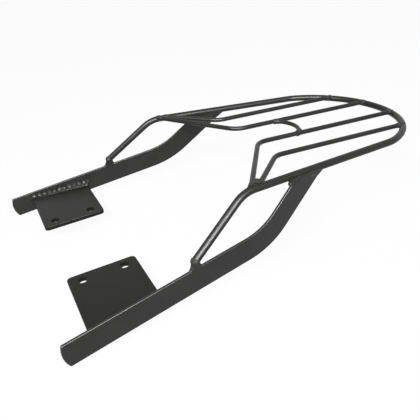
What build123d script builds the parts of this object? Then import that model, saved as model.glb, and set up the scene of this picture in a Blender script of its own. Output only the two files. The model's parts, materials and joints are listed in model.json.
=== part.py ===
from build123d import *
from math import cos, radians, sin, sqrt, tan
import os

# A motorcycle luggage rack: a welded steel frame of flat bars, round bars and two mounting plates.
# Millimetres and degrees. +X is to the rear, +Y to the right and +Z up. The origin is the centre of
# the four mounting holes, on the underside of the plates.

LEFT = -1
RIGHT = 1
SIDE_NAMES = {LEFT: "left", RIGHT: "right"}

# Mounting plates
hole_spacing_x = 44.0
hole_spacing_y = 140.0
hole_diameter = 10.0
hole_to_end = 14.5
hole_to_free_edge = 12.0
plate_thickness = 5.0
plate_corner_radius = 5.0
plate_edge_radius = 0.8

# Arms, flat bars on edge
bar_height = 25.0
bar_thickness = 3.0
bar_edge_radius = 0.8
arm_front_x = -58.0
arm_front_half_width = 155.8
arm_front_drop = 16.3
arm_pitch = 6.73
arm_toe_in = 5.86
arm_nose_radius = 25.0
arm_run = 216.0
arm_bend_radius = 88.0

# Platform plane and the loop of round bar that rims it
platform_front_x = 136.8
platform_height = 75.9
platform_pitch = 3.83
loop_diameter = 8.0
loop_front_inset = 28.8
loop_taper = 7.1
loop_length = 276.0
loop_corner_radius = 51.0
loop_rear_overrun = 2.3
loop_bend_radius = 35.0
rise_at = 83.8
foot_run = 134.5
foot_lift = 6.4

# Rods across the platform, and the arch between the inner two
rod_diameter = 5.5
rod_proud = 0.4
rod_bend_radius = 22.0
outer_rod_half_spacing = 69.7
inner_rod_half_spacing = 26.0
outer_bend_at = 71.0
inner_bend_at = 74.7
outer_foot_at = 17.4
leg_gap = 0.2
arch_diameter = 5.0
arch_at = 128.5
arch_bow = 13.0

# Weld beads
weld_leg = 2.5
weld_bulge = 1.2
weld_toe = 0.2
plate_weld_reach = 6.0
plate_weld_front_leg = 1.8
plate_weld_rear_leg = 6.2
plate_weld_front_under_leg = 8.0
plate_weld_rear_under_leg = 3.5
plate_weld_end_leg = 4.5
plate_weld_corner_radius = 1.5
plate_weld_lobes = 11
plate_weld_lobe_radius = 4.5
plate_weld_lobe_rise = 2.4
plate_weld_unevenness = 0.13
foot_weld_length = 14.4
foot_weld_width = 4.6
foot_weld_drop = 1.0
foot_cap_lap = 1.9
foot_cap_thickness = 0.45
foot_neck_radius = 3.6
foot_heel_at = 5.4
foot_heel_drop = 0.9
foot_heel_radius = 2.2
rise_weld_depth = 4.6
rise_weld_front = 12.0
rise_weld_rear = 0.2
rise_lobe_radius = 2.5
leg_web_radius = 5.0

# Values worked out from the sizes above
pitch = radians(arm_pitch)
toe_in = radians(arm_toe_in)
tilt = radians(platform_pitch)
taper = radians(loop_taper)
plate_length = hole_spacing_x + 2 * hole_to_end
plate_free_half_width = hole_spacing_y / 2 - hole_to_free_edge
loop_radius = loop_diameter / 2
rod_radius = rod_diameter / 2
rod_level = loop_radius - rod_radius + rod_proud
arm_nose_depth = arm_nose_radius - sqrt(arm_nose_radius**2 - (bar_height / 2) ** 2)

# Behind its straight sides the loop turns through a corner arc and then one wide rear arc, which would
# run out past the lines of the sides. Each corner arc touches its side and lies inside the rear arc,
# which sets how long the straight side is.
loop_front_half_width = arm_front_half_width - loop_front_inset
side_spread = loop_front_half_width * cos(taper) - loop_length * sin(taper)
loop_rear_radius = (side_spread + loop_rear_overrun) / (1 - sin(taper))
loop_rear_centre = loop_length - loop_rear_radius
side_direction = Vector(cos(taper), -sin(taper))
side_inward = Vector(-sin(taper), -cos(taper))
corner_offset = Vector(-loop_rear_centre, loop_front_half_width) + side_inward * loop_corner_radius
corner_along = corner_offset.dot(side_direction)
arc_spacing = loop_rear_radius - loop_corner_radius
side_length = sqrt(corner_along**2 - corner_offset.length**2 + arc_spacing**2) - corner_along
corner_centre = corner_offset + side_direction * side_length
arcs_join = corner_centre.normalized() * loop_rear_radius

platform = Plane(
    origin=(platform_front_x, 0, platform_height),
    x_dir=(cos(tilt), 0, -sin(tilt)),
    z_dir=(sin(tilt), 0, cos(tilt)),
)

# The rods' welds are dressed flush, just above the rods.
weld_top = platform.offset(rod_level + rod_radius + weld_toe)


def on_platform(along, across, level=0.0):
    """A point given by its distances behind the platform's front, across it and above it."""
    return platform.from_local_coords(Vector(along, across, level))


def on_loop_side(along, side, level=0.0):
    """A point over the axis of one straight side of the loop."""
    return on_platform(along, side * (loop_front_half_width - along * tan(taper)), level)


def arm_plane(side):
    """An arm's middle plane: origin at its lower front corner, x along the bar and y up its height."""
    run = Vector(cos(pitch) * cos(toe_in), -side * cos(pitch) * sin(toe_in), sin(pitch))
    up = Vector(-sin(pitch) * cos(toe_in), side * sin(pitch) * sin(toe_in), cos(pitch))
    corner = (arm_front_x, side * arm_front_half_width, -arm_front_drop)
    return Plane(origin=corner, x_dir=run, z_dir=run.cross(up))


def on_arm(side, along, height):
    """A point in an arm's middle plane."""
    return arm_plane(side).from_local_coords(Vector(along, height, 0))


def arm_inner_face(x):
    """Distance of an arm's inner face from the middle of the rack, at the plates."""
    middle = arm_front_half_width - (x - arm_front_x) * tan(toe_in)
    return middle - bar_thickness / 2 / cos(toe_in)


def loop_foot(side):
    """Centre of the loop's cut end, over an arm's top edge."""
    return on_arm(side, foot_run, bar_height + foot_lift)


# Axis of the loop, from the left foot over the front bend, round the rear and down to the right foot
with BuildLine() as loop_axis:
    side_ends = {side: on_loop_side(side_length * cos(taper), side) for side in SIDE_NAMES}
    joins = {side: on_platform(loop_rear_centre + arcs_join.X, side * arcs_join.Y) for side in SIDE_NAMES}
    FilletPolyline(loop_foot(LEFT), on_loop_side(0, LEFT), side_ends[LEFT], radius=loop_bend_radius)
    TangentArc(side_ends[LEFT], joins[LEFT], tangent=side_ends[LEFT] - on_loop_side(0, LEFT))
    ThreePointArc(joins[LEFT], on_platform(loop_length, 0), joins[RIGHT])
    TangentArc(side_ends[RIGHT], joins[RIGHT], tangent=side_ends[RIGHT] - on_loop_side(0, RIGHT))
    FilletPolyline(side_ends[RIGHT], on_loop_side(0, RIGHT), loop_foot(RIGHT), radius=loop_bend_radius)


def rod_axis(side, half_spacing, bend_at, foot_at):
    """Axis of a rod, from its front foot on the loop to its rear end on the loop."""
    rear = loop_rear_centre + sqrt(loop_rear_radius**2 - half_spacing**2)
    return FilletPolyline(
        on_loop_side(foot_at, side, rod_level),
        on_platform(bend_at, side * half_spacing, rod_level),
        on_platform(rear, side * half_spacing, rod_level),
        radius=rod_bend_radius,
    )


# Each inner rod's foot lies beside the outer rod's foot, a small gap away.
outer_leg = on_platform(outer_bend_at, outer_rod_half_spacing) - on_loop_side(outer_foot_at, RIGHT)
outer_leg_angle = radians(outer_leg.get_angle(side_ends[RIGHT] - on_loop_side(0, RIGHT)))
inner_foot_at = outer_foot_at - (rod_diameter + leg_gap) / sin(outer_leg_angle) * cos(taper)

outer_axes = {
    side: rod_axis(side, outer_rod_half_spacing, outer_bend_at, outer_foot_at) for side in SIDE_NAMES
}
inner_axes = {
    side: rod_axis(side, inner_rod_half_spacing, inner_bend_at, inner_foot_at) for side in SIDE_NAMES
}
arch_axis = ThreePointArc(
    on_platform(arch_at, -inner_rod_half_spacing, rod_level),
    on_platform(arch_at + arch_bow, 0, rod_level),
    on_platform(arch_at, inner_rod_half_spacing, rod_level),
)


def round_bar(axis, diameter, cut_by=()):
    """A round bar along an axis, coped where it meets other bars."""
    with BuildPart() as bar:
        with BuildLine():
            add(axis)
        with BuildSketch(Plane(origin=axis @ 0, z_dir=axis % 0)):
            Circle(diameter / 2)
        sweep()
        for other in cut_by:
            add(other.part, mode=Mode.SUBTRACT)
    return bar


def rise_frame(side):
    """Where an arm's raised end meets the loop's axis, its direction and its face's normal there."""
    meeting = on_loop_side(rise_at, side)
    along_arm = arm_plane(side)
    rise = (meeting - on_arm(side, arm_run, bar_height / 2)).normalized()
    bend_axis = Axis((0, 0, 0), along_arm.x_dir.cross(rise))
    face_normal = along_arm.z_dir.rotate(bend_axis, along_arm.x_dir.get_angle(rise))
    return meeting, rise, face_normal


def flat_arm(side, loop):
    """A flat bar with a rounded nose, bent edgewise and inward to carry the loop."""
    meeting, rise, _ = rise_frame(side)
    middle = arm_plane(side)
    nose = on_arm(side, -arm_nose_depth, bar_height / 2)
    nose_centre = (arm_nose_radius - arm_nose_depth, bar_height / 2)
    with BuildPart() as arm:
        with BuildLine():
            FilletPolyline(
                nose,
                on_arm(side, arm_run, bar_height / 2),
                meeting + rise * bar_height,
                radius=arm_bend_radius,
            )
        with BuildSketch(Plane(origin=nose, x_dir=middle.y_dir, z_dir=middle.x_dir)):
            RectangleRounded(bar_height, bar_thickness, bar_edge_radius)
        sweep()
        with BuildSketch(middle):
            with Locations(nose_centre):
                Rectangle(2 * arm_nose_radius, 2 * bar_height, align=(Align.MAX, Align.CENTER))
                Circle(arm_nose_radius, mode=Mode.SUBTRACT)
        extrude(amount=bar_thickness, both=True, mode=Mode.SUBTRACT)
        split(bisect_by=platform, keep=Keep.BOTTOM)
        add(loop.part, mode=Mode.SUBTRACT)
    return arm


def mounting_plate(side):
    """A level plate with two holes, its root cut to lie along the arm's inner face."""
    front = -plate_length / 2
    rear = plate_length / 2
    with BuildPart() as plate:
        with BuildSketch():
            with BuildLine():
                Polyline(
                    (front, side * arm_inner_face(front)),
                    (front, side * plate_free_half_width),
                    (rear, side * plate_free_half_width),
                    (rear, side * arm_inner_face(rear)),
                    close=True,
                )
            make_face()
            free_corners = vertices().sort_by(lambda corner: abs(corner.Y))[:2]
            fillet(free_corners, radius=plate_corner_radius)
            with Locations((0, side * hole_spacing_y / 2)):
                with GridLocations(hole_spacing_x, 0, 2, 1):
                    Circle(hole_diameter / 2, mode=Mode.SUBTRACT)
        extrude(amount=plate_thickness)
        for level in (0, plate_thickness):
            outline = faces().filter_by(Axis.Z).sort_by_distance((0, 0, level))[0].outer_wire().edges()
            free_edges = outline.sort_by(lambda edge: abs(edge.center().Y))[:-1]
            fillet(free_edges, radius=plate_edge_radius)
    return plate


def plate_root_outline(side, distance, past_ends, above, below, corner_radius):
    """An outline round a plate's root, at a distance from the arm's inner face.

    Above and below each give the outline's legs at the plate's front and rear ends.
    """
    inward = Vector(-sin(toe_in), -side * cos(toe_in), 0)
    along = Vector(cos(toe_in), -side * sin(toe_in), 0)
    root = Vector(0, side * arm_inner_face(0), plate_thickness) + inward * distance
    half_root = side * plate_length / 2 / cos(toe_in)
    with BuildSketch(Plane(origin=root, x_dir=along * side, z_dir=inward)) as outline:
        with BuildLine():
            Polyline(
                (-half_root - side * past_ends, above[0]),
                (half_root + side * past_ends, above[1]),
                (half_root + side * weld_toe, -plate_thickness - below[1]),
                (-half_root - side * weld_toe, -plate_thickness - below[0]),
                close=True,
            )
        make_face()
        fillet(vertices(), radius=corner_radius)
    return outline


def plate_weld(side, plate):
    """The weld all round a plate's root, with uneven lobes along its top that rise to the rear."""
    toe_on_arm = plate_root_outline(
        side,
        0,
        plate_weld_end_leg,
        (plate_weld_front_leg, plate_weld_rear_leg),
        (plate_weld_front_under_leg, plate_weld_rear_under_leg),
        plate_weld_corner_radius,
    )
    toe_on_plate = plate_root_outline(
        side,
        plate_weld_reach,
        weld_toe,
        (weld_toe, weld_toe),
        (weld_toe, weld_toe),
        plate_edge_radius,
    )
    arm_face = toe_on_arm.workplanes[0]
    half_root = side * plate_length / 2 / cos(toe_in)
    with BuildPart() as weld:
        loft(sections=(toe_on_arm.sketch, toe_on_plate.sketch))
        for lobe in range(plate_weld_lobes):
            share = (lobe + 0.5) / plate_weld_lobes
            place = Vector(half_root * (2 * share - 1), plate_weld_lobe_rise * share, 0)
            with Locations(arm_face.from_local_coords(place)):
                Sphere(plate_weld_lobe_radius * (1 + plate_weld_unevenness * cos(lobe**2)))
        split(bisect_by=arm_face, keep=Keep.TOP)
        add(plate.part, mode=Mode.SUBTRACT)
    return weld


def foot_weld(side, loop, arm):
    """The built-up weld that caps the loop's cut end and flares onto an arm's top edge."""
    middle = arm_plane(side)
    leg = (on_loop_side(0, side) - loop_foot(side)).normalized()
    base = on_arm(side, foot_run, bar_height - foot_weld_drop)
    cap = loop_foot(side) + leg * foot_cap_lap
    with BuildPart() as weld:
        with BuildSketch(Plane(origin=base, x_dir=middle.x_dir, z_dir=middle.y_dir)):
            Ellipse(foot_weld_length / 2, foot_weld_width / 2)
        with BuildSketch(Plane(origin=cap, x_dir=middle.x_dir, z_dir=middle.y_dir)):
            Circle(foot_neck_radius)
        loft()
        with Locations(cap):
            Sphere(loop_radius + foot_cap_thickness)
        with Locations(on_arm(side, foot_run - foot_heel_at, bar_height - foot_heel_drop)):
            Sphere(foot_heel_radius)
        add(loop.part, mode=Mode.SUBTRACT)
        add(arm.part, mode=Mode.SUBTRACT)
    return weld


def rise_weld(side, loop, arm):
    """The fillet weld all round an arm's top end, under the loop, with a lobe in its front corner."""
    meeting, rise, face_normal = rise_frame(side)
    along = platform.z_dir.cross(face_normal).normalized()
    seam = bar_height / along.cross(rise).length
    toe = meeting - rise * ((loop_radius + rise_weld_depth) / rise.dot(platform.z_dir))
    length = seam + rise_weld_front + rise_weld_rear
    lobe = toe - along * seam / 2 + platform.z_dir * rise_weld_depth / 2
    with BuildPart() as weld:
        with BuildSketch(Plane(origin=meeting, x_dir=along, z_dir=platform.z_dir)):
            with Locations(((rise_weld_rear - rise_weld_front) / 2, 0)):
                RectangleRounded(length, bar_thickness + 2 * weld_leg, weld_leg)
        with BuildSketch(Plane(origin=toe, x_dir=along, z_dir=platform.z_dir)):
            RectangleRounded(seam + 2 * weld_toe, bar_thickness + 2 * weld_toe, bar_edge_radius)
        loft()
        with Locations(lobe):
            Sphere(rise_lobe_radius)
        add(loop.part, mode=Mode.SUBTRACT)
        add(arm.part, mode=Mode.SUBTRACT)
    return weld


def collar(end, away, bar_radius, host_radius, host_direction):
    """A tapered collar round a bar's end, from the host bar's axis to past the seam's far side."""
    angle = radians(away.get_angle(host_direction))
    reach = (host_radius + bar_radius * abs(cos(angle))) / sin(angle) + weld_leg
    with Locations(Plane(origin=end, z_dir=away)):
        Cone(
            bar_radius + weld_bulge,
            bar_radius + weld_toe,
            reach,
            align=(Align.CENTER, Align.CENTER, Align.MIN),
        )


def end_weld(end, away, bar, bar_radius, host, host_radius, host_direction):
    """The weld round a bar's end where it meets its host bar."""
    with BuildPart() as weld:
        collar(end, away, bar_radius, host_radius, host_direction)
        split(bisect_by=weld_top, keep=Keep.BOTTOM)
        add(bar.part, mode=Mode.SUBTRACT)
        add(host.part, mode=Mode.SUBTRACT)
    return weld


def leg_weld(side, loop, rods):
    """One weld round both front legs of a side, with a web in the narrow corner between them."""
    feet = [axes[side] @ 0 for axes in (outer_axes, inner_axes)]
    legs = [axes[side] % 0 for axes in (outer_axes, inner_axes)]
    between = (legs[0] + legs[1]).normalized()
    web_centre = (feet[0] + feet[1]) / 2 + between * (loop_radius + leg_web_radius)
    loop_direction = side_ends[side] - on_loop_side(0, side)
    loop_middle = Plane(origin=feet[0], x_dir=loop_direction, z_dir=loop_direction.cross(platform.z_dir) * side)
    with BuildPart() as weld:
        for foot, leg in zip(feet, legs):
            collar(foot, leg, rod_radius, loop_radius, loop_direction)
        with Locations(Plane(origin=web_centre, z_dir=platform.z_dir)):
            Cylinder(leg_web_radius, rod_diameter)
        split(bisect_by=weld_top, keep=Keep.BOTTOM)
        split(bisect_by=loop_middle, keep=Keep.TOP)
        for bar in (loop, *rods):
            add(bar.part, mode=Mode.SUBTRACT)
    return weld


def save(piece, name):
    """Label a finished piece and write it under its own name."""
    piece.part.label = name
    export_step(piece.part, f"parts/{name}.step")


os.makedirs("parts", exist_ok=True)

loop = round_bar(loop_axis.line, loop_diameter)
save(loop, "loop")

inner_rods = {side: round_bar(inner_axes[side], rod_diameter, (loop,)) for side in SIDE_NAMES}
outer_rods = {side: round_bar(outer_axes[side], rod_diameter, (loop,)) for side in SIDE_NAMES}
arch = round_bar(arch_axis, arch_diameter, inner_rods.values())
save(arch, "arch")

for side, name in SIDE_NAMES.items():
    save(inner_rods[side], f"{name}_inner_rod")
    save(outer_rods[side], f"{name}_outer_rod")

    arm = flat_arm(side, loop)
    save(arm, f"{name}_arm")
    plate = mounting_plate(side)
    save(plate, f"{name}_plate")
    save(plate_weld(side, plate), f"{name}_plate_weld")
    save(foot_weld(side, loop, arm), f"{name}_foot_weld")
    save(rise_weld(side, loop, arm), f"{name}_rise_weld")

    save(leg_weld(side, loop, (inner_rods[side], outer_rods[side])), f"{name}_leg_weld")

    for place, axes, rods in (("outer", outer_axes, outer_rods), ("inner", inner_axes, inner_rods)):
        rear = axes[side] @ 1
        rim = (rear - on_platform(loop_rear_centre, 0, rod_level)).cross(platform.z_dir)
        forward = platform.x_dir * -1
        rear_weld = end_weld(rear, forward, rods[side], rod_radius, loop, loop_radius, rim)
        save(rear_weld, f"{name}_{place}_rear_weld")

    arch_end = 0 if side == LEFT else 1
    away = (arch_axis % arch_end) * -side
    arch_weld = end_weld(
        arch_axis @ arch_end,
        away,
        arch,
        arch_diameter / 2,
        inner_rods[side],
        rod_radius,
        platform.x_dir,
    )
    save(arch_weld, f"{name}_arch_weld")
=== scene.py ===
import json

import bpy
from mathutils import Matrix, Vector


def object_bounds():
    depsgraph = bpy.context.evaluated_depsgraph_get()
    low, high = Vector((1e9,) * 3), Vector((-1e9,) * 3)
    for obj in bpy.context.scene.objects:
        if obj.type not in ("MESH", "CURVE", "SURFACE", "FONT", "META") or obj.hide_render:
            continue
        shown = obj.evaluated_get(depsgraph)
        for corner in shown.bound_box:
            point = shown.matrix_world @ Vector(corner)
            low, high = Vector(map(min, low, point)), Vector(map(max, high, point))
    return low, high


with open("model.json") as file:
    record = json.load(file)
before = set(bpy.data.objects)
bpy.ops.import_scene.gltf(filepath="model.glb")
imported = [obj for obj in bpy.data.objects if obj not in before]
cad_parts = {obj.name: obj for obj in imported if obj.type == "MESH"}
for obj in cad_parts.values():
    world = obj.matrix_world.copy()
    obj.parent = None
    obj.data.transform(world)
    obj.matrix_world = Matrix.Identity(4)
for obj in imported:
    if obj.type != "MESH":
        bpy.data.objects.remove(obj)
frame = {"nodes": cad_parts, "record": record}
cad_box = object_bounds()

# Lengths are in metres in the part's frame: +X to the rear, +Y to the right, +Z up.

# Camera of the photograph
CAMERA_EYE = Vector((-0.0576, -0.51154, 0.30858))
CAMERA_RIGHT = Vector((0.89361, -0.43513, -0.11013))
CAMERA_UP = Vector((0.30511, 0.40892, 0.86006))
CAMERA_BACK = Vector((-0.3292, -0.80215, 0.49817))
CAMERA_LENS_MM = 44.47
CAMERA_SENSOR_MM = 36.0
CAMERA_CLIP_START = 0.01

# Floor and surround. The floor's white share is plain white, and the rest of it takes the shadow.
WHITE = (1, 1, 1, 1)
WHITE_STRENGTH = 1.0
FLOOR_COLOUR = (0.85, 0.85, 0.85, 1)
FLOOR_SIZE = 12.0
FLOOR_CENTRE_X = 0.15
FLOOR_DROP = 0.0008
FLOOR_WHITE_SHARE = 0.94
WORLD_LIGHT = 0.15

# Lamps. The key lights the rack, and the streak is its image in the coat, from the same place.
LIT_POINT = Vector((0.1, 0, 0.03))
LIGHT_DISTANCE = 2.0
KEY_BOX = {
    "towards": (-0.45, -0.58, 0.68),
    "along": (-0.45, 0.84, 0.28),
    "length": 1.0,
    "width": 0.25,
}

# Powder coat. Noise scales are per metre.
COAT_COLOUR = (0.005, 0.005, 0.0045)
COAT_DUSTY_COLOUR = (0.0085, 0.0085, 0.0077)
GRAIN_NOISE = {"Scale": 1400.0, "Detail": 3.0, "Roughness": 0.55}
SWELL_NOISE = {"Detail": 2.0, "Roughness": 0.5}
CLOUD_NOISE = {"Detail": 5.0, "Roughness": 0.6}
CLOUD_LOW = 0.4
CLOUD_HIGH = 0.6
BUMP_STRENGTH = 1.0

# Unevenness of the coat on bars and plates, and on the rougher weld beads
BAR_COAT = {
    "roughness_spread": 0.03,
    "cloud_scale": 38.0,
    "grain_depth": 0.000003,
    "swell_depth": 0.00001,
}
WELD_COAT = {
    "roughness_spread": 0.22,
    "cloud_scale": 110.0,
    "grain_depth": 0.000005,
    "swell_depth": 0.0012,
}


def node(tree, kind, **inputs):
    """Add a shader node and set its unlinked inputs by name."""
    made = tree.nodes.new(kind)
    for name, value in inputs.items():
        made.inputs[name.replace("_", " ")].default_value = value
    return made


def seen_directly(tree):
    """1 for camera, glossy and transmission rays, and 0 for rays that light a matt surface."""
    path = tree.nodes.new("ShaderNodeLightPath")
    seen = path.outputs["Is Camera Ray"]
    for ray in ("Is Glossy Ray", "Is Transmission Ray"):
        either = tree.nodes.new("ShaderNodeMath")
        either.operation = "MAXIMUM"
        tree.links.new(seen, either.inputs[0])
        tree.links.new(path.outputs[ray], either.inputs[1])
        seen = either.outputs[0]
    return seen


def mix_to_surface(tree, factor, first, second, output):
    """Mix two shaders by a factor into the surface of an output node."""
    mix = tree.nodes.new("ShaderNodeMixShader")
    tree.links.new(factor, mix.inputs["Fac"])
    tree.links.new(first.outputs[0], mix.inputs[1])
    tree.links.new(second.outputs[0], mix.inputs[2])
    tree.links.new(mix.outputs[0], tree.nodes[output].inputs["Surface"])


def powder_coat(
    name, ior, roughness, swell_scale, roughness_spread, cloud_scale, grain_depth, swell_depth
):
    """Satin black powder coat: fine orange peel over slower swells, with faint cloudy dust."""
    material = bpy.data.materials.new(name)
    material.use_nodes = True
    tree = material.node_tree
    shader = tree.nodes["Principled BSDF"]
    shader.inputs["IOR"].default_value = ior
    place = tree.nodes.new("ShaderNodeTexCoord")

    grain = node(tree, "ShaderNodeTexNoise", **GRAIN_NOISE)
    swell = node(tree, "ShaderNodeTexNoise", Scale=swell_scale, **SWELL_NOISE)
    cloud = node(tree, "ShaderNodeTexNoise", Scale=cloud_scale, **CLOUD_NOISE)
    for texture in (grain, swell, cloud):
        tree.links.new(place.outputs["Object"], texture.inputs["Vector"])

    colour = tree.nodes.new("ShaderNodeMix")
    colour.data_type = "RGBA"
    colour.inputs["A"].default_value = (*COAT_COLOUR, 1)
    colour.inputs["B"].default_value = (*COAT_DUSTY_COLOUR, 1)
    tree.links.new(cloud.outputs["Fac"], colour.inputs["Factor"])
    tree.links.new(colour.outputs["Result"], shader.inputs["Base Color"])

    gloss = node(tree, "ShaderNodeMapRange", From_Min=CLOUD_LOW, From_Max=CLOUD_HIGH)
    gloss.inputs["To Min"].default_value = roughness - roughness_spread
    gloss.inputs["To Max"].default_value = roughness + roughness_spread
    tree.links.new(cloud.outputs["Fac"], gloss.inputs["Value"])
    tree.links.new(gloss.outputs["Result"], shader.inputs["Roughness"])

    swells = node(tree, "ShaderNodeBump", Strength=BUMP_STRENGTH, Distance=swell_depth)
    tree.links.new(swell.outputs["Fac"], swells.inputs["Height"])
    grains = node(tree, "ShaderNodeBump", Strength=BUMP_STRENGTH, Distance=grain_depth)
    tree.links.new(grain.outputs["Fac"], grains.inputs["Height"])
    tree.links.new(swells.outputs["Normal"], grains.inputs["Normal"])
    tree.links.new(grains.outputs["Normal"], shader.inputs["Normal"])
    return material


def floor_material():
    """A pale floor that reads as white and still takes a soft shadow."""
    material = bpy.data.materials.new("pale_floor")
    material.use_nodes = True
    tree = material.node_tree
    tree.nodes.remove(tree.nodes["Principled BSDF"])
    matt = node(tree, "ShaderNodeBsdfDiffuse", Color=FLOOR_COLOUR)
    white = node(tree, "ShaderNodeEmission", Color=WHITE, Strength=WHITE_STRENGTH)
    share = tree.nodes.new("ShaderNodeMath")
    share.operation = "MULTIPLY"
    share.inputs[1].default_value = FLOOR_WHITE_SHARE
    tree.links.new(seen_directly(tree), share.inputs[0])
    mix_to_surface(tree, share.outputs[0], matt, white, "Material Output")
    return material


def add_floor():
    """A wide plain floor just under the lowest point of the rack."""
    floor_level = cad_box[0][2] - FLOOR_DROP
    bpy.ops.mesh.primitive_plane_add(size=FLOOR_SIZE, location=(FLOOR_CENTRE_X, 0, floor_level))
    floor = bpy.context.object
    floor.name = "floor"
    floor.data.materials.append(floor_material())


def add_world():
    """A surround that is white to look at and in reflections, and gives a little light."""
    world = bpy.data.worlds.new("studio")
    bpy.context.scene.world = world
    world.use_nodes = True
    tree = world.node_tree
    lit = tree.nodes["Background"]
    lit.inputs["Color"].default_value = WHITE
    lit.inputs["Strength"].default_value = WORLD_LIGHT
    seen = node(tree, "ShaderNodeBackground", Color=WHITE, Strength=WHITE_STRENGTH)
    mix_to_surface(tree, seen_directly(tree), lit, seen, "World Output")


def add_light(name, towards, along, length, width, power, lights=True, mirrored=True):
    """A soft box in a direction from the rack, its long side along another.

    It can be left out of the light on matt surfaces, or out of reflections.
    """
    data = bpy.data.lights.new(name, "AREA")
    data.shape = "RECTANGLE"
    data.size = length
    data.size_y = width
    data.energy = power
    lamp = bpy.data.objects.new(name, data)
    back = Vector(towards).normalized()
    side = back.cross(Vector(along)).normalized()
    axes = Matrix((side.cross(back), side, back)).transposed()
    lamp.matrix_world = Matrix.Translation(LIT_POINT + back * LIGHT_DISTANCE) @ axes.to_4x4()
    lamp.visible_diffuse = lights
    lamp.visible_glossy = mirrored
    bpy.context.scene.collection.objects.link(lamp)


def add_camera():
    """The photograph's camera."""
    data = bpy.data.cameras.new("photo_camera")
    data.sensor_width = CAMERA_SENSOR_MM
    data.lens = CAMERA_LENS_MM
    data.clip_start = CAMERA_CLIP_START
    camera = bpy.data.objects.new("photo_camera", data)
    axes = Matrix((CAMERA_RIGHT, CAMERA_UP, CAMERA_BACK)).transposed()
    camera.matrix_world = Matrix.Translation(CAMERA_EYE) @ axes.to_4x4()
    bpy.context.scene.collection.objects.link(camera)
    bpy.context.scene.camera = camera


def dress(materials):
    """Give each CAD node the coat of its record slot."""
    for part in frame["record"]["subparts"]:
        mesh = frame["nodes"][part["node"]].data
        mesh.materials.clear()
        mesh.materials.append(materials[part["material_slot"]])


dress(
    {
        "coated_flat_bar": powder_coat(
            "coat_on_flat_bar", ior=1.42, roughness=0.37, swell_scale=160.0, **BAR_COAT
        ),
        "coated_plate": powder_coat(
            "coat_on_plate", ior=1.25, roughness=0.37, swell_scale=160.0, **BAR_COAT
        ),
        "coated_round_bar": powder_coat(
            "coat_on_round_bar", ior=1.34, roughness=0.4, swell_scale=200.0, **BAR_COAT
        ),
        "weld_bead": powder_coat(
            "coat_on_weld", ior=1.37, roughness=0.58, swell_scale=170.0, **WELD_COAT
        ),
    }
)
add_floor()
add_world()
add_light("key", **KEY_BOX, power=42.0, mirrored=False)
add_light("streak", **KEY_BOX, power=125.0, lights=False)
add_light(
    "edge",
    towards=(0.03, -0.84, 0.54),
    along=(1, 0, 0),
    length=0.4,
    width=0.6,
    power=100.0,
    lights=False,
)
add_light(
    "overhead",
    towards=(0, 0, 1),
    along=(1, 0, 0),
    length=1.5,
    width=1.5,
    power=12.0,
    mirrored=False,
)
add_camera()

bpy.context.scene.view_settings.view_transform = "Standard"
